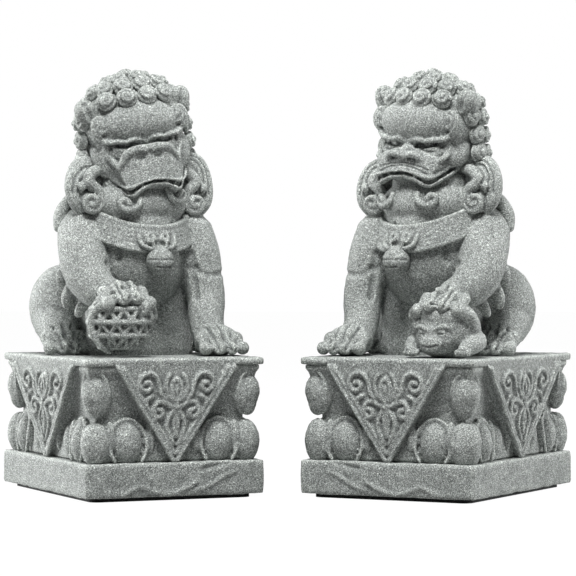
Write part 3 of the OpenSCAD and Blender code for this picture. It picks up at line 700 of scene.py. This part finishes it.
# height over the eyes, how far round from the face the row starts, and how many curls it has
CURL_ROWS = [(-8.2, 94, 8), (-3.2, 86, 9), (2.1, 86, 9), (7.4, 78, 9), (12.0, 0, 14), (15.6, 0, 11),
             (17.9, 0, 6), (18.8, 0, 1)]


def hair_spots():
    """Where the curls stand: place and outward way, row by row round the skull."""
    spots = []
    for h, start, count in CURL_ROWS:
        up = h - SKULL_Z
        k = math.sqrt(max(0, 1 - (up / SKULL_H) ** 2)) if up > 0 else 1 - 0.004 * up
        for i in range(count):
            step = 360 * (i + 0.5) / count if start == 0 else start + (360 - 2 * start) * i / (count - 1)
            c, t = math.cos(math.radians(step)), math.sin(math.radians(step))
            p = Vector((SKULL_W * k * t, -3.5 + 0.2 * max(0, -up) - SKULL_D * min(1, k) * c, h))
            way = Vector((t / SKULL_W, -c / SKULL_D, max(0, up) / SKULL_H ** 2)).normalized()
            if (Vector((abs(p.x), p.y, p.z)) - EARS).length > 5.0:
                spots.append((p, way, 1 if p.x > 0 else -1))
    return spots


for who in LIONS:
    for p, way, hand in hair_spots():
        curl = bpy.data.objects.new("curl", pattern.copy())
        bpy.context.collection.objects.link(curl)
        turn = way.to_track_quat("Z", "Y").to_matrix().to_4x4()
        size = Matrix.Diagonal((1.08 * hand, 1.08, 1, 1))
        curl.data.transform(Matrix.Translation(p - 0.5 * way) @ turn @ size)
        if hand < 0:
            curl.data.flip_normals()
        parts.append(curl)
    curls = joined(who + "_crown_curls_stone")
    bpy.ops.object.shade_smooth()
    posed(curls, who)
    cast(curls, who, ["crown_curls"], PLINTH_H)

# The locks
# Heavy locks sweep out from behind the cheeks and wind in to snail ends on the breast. Down the
# nape the mane falls in flame-shaped locks. Both are carved in the one casting.
def wound(at, r, turns, hand, thick, start):
    """Points of a flat spiral that winds in, facing the front."""
    points = []
    steps = int(10 * turns) + 2
    for i in range(steps):
        a = math.radians(start) + hand * 2 * math.pi * turns * i / (steps - 1)
        q = r * (1 - 0.78 * i / (steps - 1))
        points.append((at[0] + q * math.cos(a), at[1] - 0.8 * i / (steps - 1), at[2] + q * math.sin(a),
                       thick * (1 - 0.25 * i / (steps - 1))))
    return points


for who in LIONS:
    for s in (-1, 1):
        # with the male's leaning head the lock on his left is carried up, the other one down
        up = 2.2 * s if who == "male" else 0
        ball((s * 16.6, -4.6, 51.6), (6.2, 4.6, 9.2))
        roll([(s * 11, -4, 56.4 + up, 2.4), (s * 15, -5.4, 58 + up, 2.7), (s * 19, -6.6, 56.8 + up, 2.8),
              (s * 21, -7.4, 53.6 + 0.6 * up, 2.8), (s * 21.6, -8.2, 50, 2.6), (s * 21, -8.8, 46.6, 2.3),
              (s * 19.8, -8.6, 44, 1.6)], 0.75)
        snail_end = wound((s * 16.8, -11.6, 46.3), 3.3, 1.45, s, 1.05, 150 if s > 0 else 30)
        roll([(s * 12.5, -8.4, 56.5, 1.7), (s * 15.6, -9.6, 55.4, 1.9), (s * 17.4, -10.4, 52.6, 1.9),
              (s * 14.2, -11, 49.8, 1.5)] + snail_end)
        ball((s * 19.8, -10, 51), 1.8)
        ball((s * 16.8, -11.6, 46.3), 0.9)
        ball((s * 16.8, -9.6, 46.3), (3.4, 1.6, 3.4))
    locks = fuse(who + "_side_locks_stone", 0.38, 2)
    for s in (-1, 1):
        up = 2.2 * s if who == "male" else 0
        for inset, rise in ((0, 0), (1.9, 1.5), (3.6, 2.9)):
            cut(locks, [(s * (12.4 + inset * 0.5), -8, 56.2 + up + rise),
                        (s * (16.2 + inset * 0.7), -9, 56.2 + up + rise),
                        (s * (18.2 + inset), -10, 53.4 + up + rise * 0.5),
                        (s * (18.8 + inset), -10.6, 49.4)], 0.75, 0.6)
    cast(locks, who, ["side_locks"], PLINTH_H)

    # three rows of locks down the nape, and one more at each side
    for row, (z, out) in enumerate(((57, 0), (50, 0.8), (43.5, 2.4))):
        count = 4 + row
        for i in range(count):
            a = math.radians(-66 + 132 * (i + 0.5) / count)
            c, t = math.cos(a), math.sin(a)
            r = 13.2 + out
            roll([(r * 0.92 * t, -3 + r * 0.85 * c, z + 3, 2.2),
                  (r * 1.04 * t, -2.4 + r * 0.98 * c, z - 1, 2.9),
                  ((r + 1.6) * 1.06 * t, -2 + (r + 1.6) * c, z - 5.4, 2.3),
                  ((r + 2.6) * 1.1 * t + 1.2 * (1 if t > 0 else -1), -1.6 + (r + 2.4) * c, z - 8.4, 1.1)],
                 0.8, (t, c, 0.1))
    for s in (-1, 1):
        roll([(s * 14, 3, 50, 2.4), (s * 18.6, 2, 47, 3.0), (s * 22, 1, 43, 2.9),
              (s * 23.2, 0, 39.4, 2.1)], 0.8, (s, 0.2, 0.3))
    mane = fuse(who + "_back_mane_stone", 0.42, 2)
    cast(mane, who, ["back_mane"], PLINTH_H)

# The collars, bells and beards
# A broad band with raised edges hangs round the neck. A round bell is tied to it over a small
# cloud knot, and two hooked beard curls lie on the throat. All are carved in the one casting.
BREAST_TURN = {"male": 3, "female": 12}
BELL_Y, BELL_R = 22.6, 4.2


def breasted(piece, who):
    """Turns a piece about the neck to where this lion's breast faces."""
    axis = Matrix.Translation((0, -3, 0))
    piece.data.transform(axis @ Matrix.Rotation(math.radians(BREAST_TURN[who]), 4, "Z") @ axis.inverted())


def on_collar(a, lift, out):
    """A point on the collar's band: degrees round from the front, height on the band, and proud of it."""
    c, t = math.cos(math.radians(a)), math.sin(math.radians(a))
    # the band leans in to the throat, most of all at the front
    out -= (0.25 + 0.45 * c) * lift
    p = Vector(((16.6 + out) * t, -(18.9 + out) * c, lift))
    return Matrix.Rotation(math.radians(25), 4, "X") @ p + Vector((0, -2.4, 43.4))


for who in LIONS:
    up = (0.001, -0.423, 0.906)
    for lift in (-2.4, -1.2, 0, 1.2, 2.4):
        roll([(*on_collar(a, lift, 0.1), 1.25) for a in range(0, 361, 12)], 1, up, 10, 2)
    for lift in (-3.1, 3.1):
        roll([(*on_collar(a, lift, 0.75), 0.75) for a in range(0, 361, 12)], 1, up, 8, 2)
    # a small cloud knot over the bell
    for s in (-1, 1):
        roll([(*on_collar(s * 3, 0.4, 1.8), 0.7), (*on_collar(s * 7, 1.6, 1.2), 0.7),
              (*on_collar(s * 11, 1.0, 1.5), 0.7), (*on_collar(s * 9, -0.3, 2.2), 0.7),
              (*on_collar(s * 6.5, 0.2, 2.1), 0.7)])
        roll([(*on_collar(s * 2, -1.3, 2.8), 0.7), (*on_collar(s * 9, -1.6, 3.0), 0.7),
              (*on_collar(s * 16, -0.8, 2.5), 0.7), (*on_collar(s * 19, 0.8, 1.6), 0.7)])
    collar = fuse(who + "_collar_stone", 0.4, 1)
    breasted(collar, who)
    cast(collar, who, ["collar"], PLINTH_H)

    # the bell hangs on two short cords
    ball((0, -BELL_Y, 28.6), BELL_R)
    for s in (-1, 1):
        roll([(s * 1.9, -BELL_Y, 31.8, 0.6), (s * 2.4, -BELL_Y, 34.6, 0.6)])
    bell = fuse(who + "_bell_stone", 0.3, 1)
    # the seam round the bell, and its slot
    cut(bell, [(BELL_R * math.sin(a), -BELL_Y - BELL_R * math.cos(a), 29) for a in np.arange(-1.5, 1.6, 0.3)],
        0.45, 0.3)
    cut(bell, [(-2.4, -25.6, 26.8), (0, -26.4, 26.6), (2.4, -25.6, 26.8)], 0.5, 0.5)
    breasted(bell, who)
    cast(bell, who, ["bell"], PLINTH_H)

    # the beard's two hooked curls, one higher than the other on the male
    for s in (-1, 1):
        up = 1.4 * s if who == "male" else 0
        roll([(s * 4.6, -18.2, 48.8 + up, 0.9), (s * 5.2, -18.8, 46.8 + up, 1.0),
              (s * 7.2, -18.6, 45.4 + up, 1.05), (s * 9.6, -17.5, 45.6 + up, 1.05),
              (s * 10.6, -16.8, 47.4 + up, 1.0), (s * 9.2, -17.7, 48.4 + up, 1.0),
              (s * 8.2, -18.1, 47.2 + up, 1.1)])
    beard = fuse(who + "_beard_stone", 0.32, 1)
    breasted(beard, who)
    cast(beard, who, ["beard"], PLINTH_H)

# The tails
# The tail stands up behind the back as a flame of three locks, clear of it at the tips. It is
# carved in the one casting, and can't be moved.
for who in LIONS:
    roll([(0, 31, 5, 3.6), (0, 34, 12, 4.4), (0, 33.4, 20, 4.2), (0, 29.6, 27, 3.2), (0.6, 26, 32, 2.2),
          (0, 25.4, 35, 1.2)])
    for s in (-1, 1):
        roll([(s * 1.6, 31.5, 8, 3), (s * 5.6, 32, 15, 3), (s * 7, 29.4, 21, 2.4), (s * 6, 27.4, 25.4, 1.2)])
    tail = fuse(who + "_tail_stone", 0.42, 2)
    for x in (-1.6, 1.6):
        cut(tail, [(x, 36.5, 6), (x, 38, 13), (x * 0.9, 37, 21), (x * 0.5, 32.4, 28.6)], 0.9, 0.5)
    cast(tail, who, ["tail"], PLINTH_H)

# The brocade ball
# The male's ball is a net of bars between rings, pierced in triangles, with a ribbon over it. It
# is cast with him in the same stone, under his right paw.
BALL_AT, BALL_R = Vector((-12.4, -24.5, 10.5)), 10.5
BALL_RINGS, BARS = (-50, -24, 0, 24, 46), 13


def on_ball(az, el, out):
    """A point on the ball: degrees round from the front, degrees up, and how far proud of it."""
    a, e = math.radians(az), math.radians(el)
    way = Vector((math.cos(e) * math.sin(a), -math.cos(e) * math.cos(a), math.sin(e)))
    return BALL_AT + (BALL_R + out) * way


ball(BALL_AT, BALL_R - 1.7)
for el in BALL_RINGS:
    roll([(*on_ball(az, el, -0.8), 0.8) for az in range(0, 361, 10)], 1, (0, 0.01, 1), 8, 1)
for row, (low, high) in enumerate(zip(BALL_RINGS[:-1], BALL_RINGS[1:])):
    for i in range(BARS):
        az = 360 * (i + 0.5 * row) / BARS
        for s in (-1, 1):
            bar = [(*on_ball(az, low, -0.9), 0.66), (*on_ball(az + s * 180 / BARS, high, -0.9), 0.66)]
            roll(bar, 1, (0.3, -1, 0.2), 8, 2)
# ribbons: a loop at the left from under the paw to the ground, and a knotted flower at the right
roll([(*on_ball(-36, 46, 0.0), 0.9), (*on_ball(-58, 30, 0.2), 1.0), (*on_ball(-72, 10, 0.3), 1.1),
      (*on_ball(-74, -14, 0.3), 1.1), (*on_ball(-66, -38, 0.2), 1.0), (*on_ball(-56, -56, 0.0), 0.9)],
     0.8)
for out in (16, 28, 40):
    roll([(*on_ball(out - 2, 50, 0.0), 0.8), (*on_ball(out + 8, 36, 0.1), 0.9),
          (*on_ball(out + 20, 22, 0.1), 0.9), (*on_ball(out + 26, 6, 0.0), 0.7)])
ball(on_ball(30, 26, -0.5), 2.3)
for a in range(0, 360, 60):
    ball(on_ball(30 + 10 * math.cos(math.radians(a)), 26 + 9 * math.sin(math.radians(a)), -0.3), 1.2)
pearl = fuse("male_ball_stone", 0.36, 1)
cast(pearl, "male", ["ball"], PLINTH_H)

# The cub
# The female's cub lies on its back under her paw, with its round face to the front and its own
# paws up round hers. It is cast with her, in the same stone.
cub_x, cub_y = -14.6, -26
face_x = cub_x + 1.2
ball((cub_x, cub_y, 8.2), (10, 8.8, 9.2))
ball((cub_x - 0.4, cub_y - 2, 12), (8.4, 6.6, 5.4))
# its head, with ears, eyes and a short muzzle
ball((face_x, cub_y - 5.2, 5.8), (6.6, 5.0, 5.4))
ball((face_x, cub_y - 9.4, 4.4), (3.6, 2.0, 2.5))
ball((face_x, cub_y - 10.6, 5.4), (1.3, 0.9, 0.8))
for s in (-1, 1):
    ball((face_x + s * 3.0, cub_y - 8.9, 7.4), (1.5, 1.0, 1.1))
    roll([(face_x + s * 1.2, cub_y - 9.6, 8.4, 0.6), (face_x + s * 3.4, cub_y - 9.2, 9.4, 0.8),
          (face_x + s * 5.4, cub_y - 7.6, 8.6, 0.6)])
    ball((face_x + s * 5.8, cub_y - 5.6, 9.8), (2.0, 1.5, 2.1))
    # hind leg, foreleg and toes
    roll([(cub_x + s * 8.8, cub_y + 1, 5, 3.2), (cub_x + s * 9.2, cub_y - 3.4, 4, 2.9),
          (cub_x + s * 8.4, cub_y - 7, 2.4, 2.2)])
    roll([(cub_x + s * 8.2, cub_y - 2, 10, 2.6), (cub_x + s * 8.4, cub_y - 4.6, 12.6, 2.2),
          (cub_x + s * 6.2, cub_y - 6.6, 14.4, 1.9)])
    for i in (-1, 0, 1):
        ball((cub_x + s * 8.2 + 1.5 * i, cub_y - 8.4 + 0.3 * i * i, 1.6), 1.1)
cub = fuse("female_cub_stone", 0.38, 1)
cut(cub, [(cub_x - 1.6, cub_y - 11.2, 3.6), (face_x, cub_y - 11.6, 3.1), (cub_x + 4, cub_y - 11.2, 3.6)],
    0.6, 0.6)
for s in (-1, 1):
    cut(cub, [(face_x + s * 2.2, cub_y - 9.8, 7.2), (face_x + s * 3.8, cub_y - 9.6, 7.2)], 0.5, 0.5)
cast(cub, "female", ["cub"], PLINTH_H)

# The floor, the light and the camera
# A pale floor under soft studio light: one lamp high in front, so that the chins shade the
# breasts, and one at each side, a little behind the pair.
bpy.ops.mesh.primitive_plane_add(size=8, location=(0, 0, 0))
floor = bpy.context.object
floor.name = "floor"
pale = bpy.data.materials.new("pale_floor")
pale.use_nodes = True
n, link = pale.node_tree.nodes, pale.node_tree.links
n["Principled BSDF"].inputs["Base Color"].default_value = (0.3, 0.3, 0.3, 1)
n["Principled BSDF"].inputs["Roughness"].default_value = 0.9
# the floor is grey to the stone that stands on it, and white to the camera
glow = n.new("ShaderNodeEmission")
glow.inputs["Color"].default_value = (1, 1, 1, 1)
glow.inputs["Strength"].default_value = 1.06
path = n.new("ShaderNodeLightPath")
seen = n.new("ShaderNodeMath")
seen.operation = "MULTIPLY"
seen.inputs[1].default_value = 0.93
blend = n.new("ShaderNodeMixShader")
link.new(path.outputs["Is Camera Ray"], seen.inputs[0])
link.new(seen.outputs[0], blend.inputs["Fac"])
link.new(n["Principled BSDF"].outputs[0], blend.inputs[1])
link.new(glow.outputs[0], blend.inputs[2])
link.new(blend.outputs[0], n["Material Output"].inputs["Surface"])
floor.data.materials.append(pale)

# the backdrop gives a dim light, and is white to the camera
world = bpy.data.worlds.new("studio")
bpy.context.scene.world = world
world.use_nodes = True
n, link = world.node_tree.nodes, world.node_tree.links
lit = n["Background"]
lit.inputs["Color"].default_value = (1, 1, 1, 1)
lit.inputs["Strength"].default_value = 0.11
white = n.new("ShaderNodeBackground")
white.inputs["Color"].default_value = (1, 1, 1, 1)
white.inputs["Strength"].default_value = 1
path = n.new("ShaderNodeLightPath")
blend = n.new("ShaderNodeMixShader")
link.new(path.outputs["Is Camera Ray"], blend.inputs["Fac"])
link.new(lit.outputs[0], blend.inputs[1])
link.new(white.outputs[0], blend.inputs[2])
link.new(blend.outputs[0], n["World Output"].inputs["Surface"])

# each lamp's name, where it hangs, what it is aimed at, its size and its watts
LAMPS = [
    ("lamp_over", (-0.02, -0.34, 0.68), (0, 0, 0.06), 0.3, 8.3),
    ("lamp_left", (-0.80, 0.28, 0.22), (-0.04, 0, 0.05), 0.4, 11.4),
    ("lamp_right", (0.80, 0.26, 0.22), (0.04, 0, 0.05), 0.4, 6.6),
]
for name, spot, aim, size, watts in LAMPS:
    lamp = bpy.data.lights.new(name, "AREA")
    lamp.energy = watts
    lamp.size = size
    holder = bpy.data.objects.new(name, lamp)
    bpy.context.collection.objects.link(holder)
    holder.location = spot
    holder.rotation_euler = (Vector(aim) - Vector(spot)).to_track_quat("-Z", "Y").to_euler()

# where the camera stands, and how far it looks to the right and down, in degrees
EYE_AT, EYE_RIGHT, EYE_DOWN = (0.0245, -0.7996, 0.0661), -1.677, 0.262
view = bpy.data.cameras.new("view")
view.lens = 162.75
view.sensor_width = 36
eye = bpy.data.objects.new("view", view)
bpy.context.collection.objects.link(eye)
a, e = math.radians(EYE_RIGHT), math.radians(EYE_DOWN)
ahead = Vector((math.sin(a) * math.cos(e), math.cos(a) * math.cos(e), -math.sin(e)))
eye.location = EYE_AT
eye.rotation_euler = ahead.to_track_quat("-Z", "Y").to_euler()
bpy.context.scene.camera = eye
bpy.context.scene.view_settings.view_transform = "Standard"
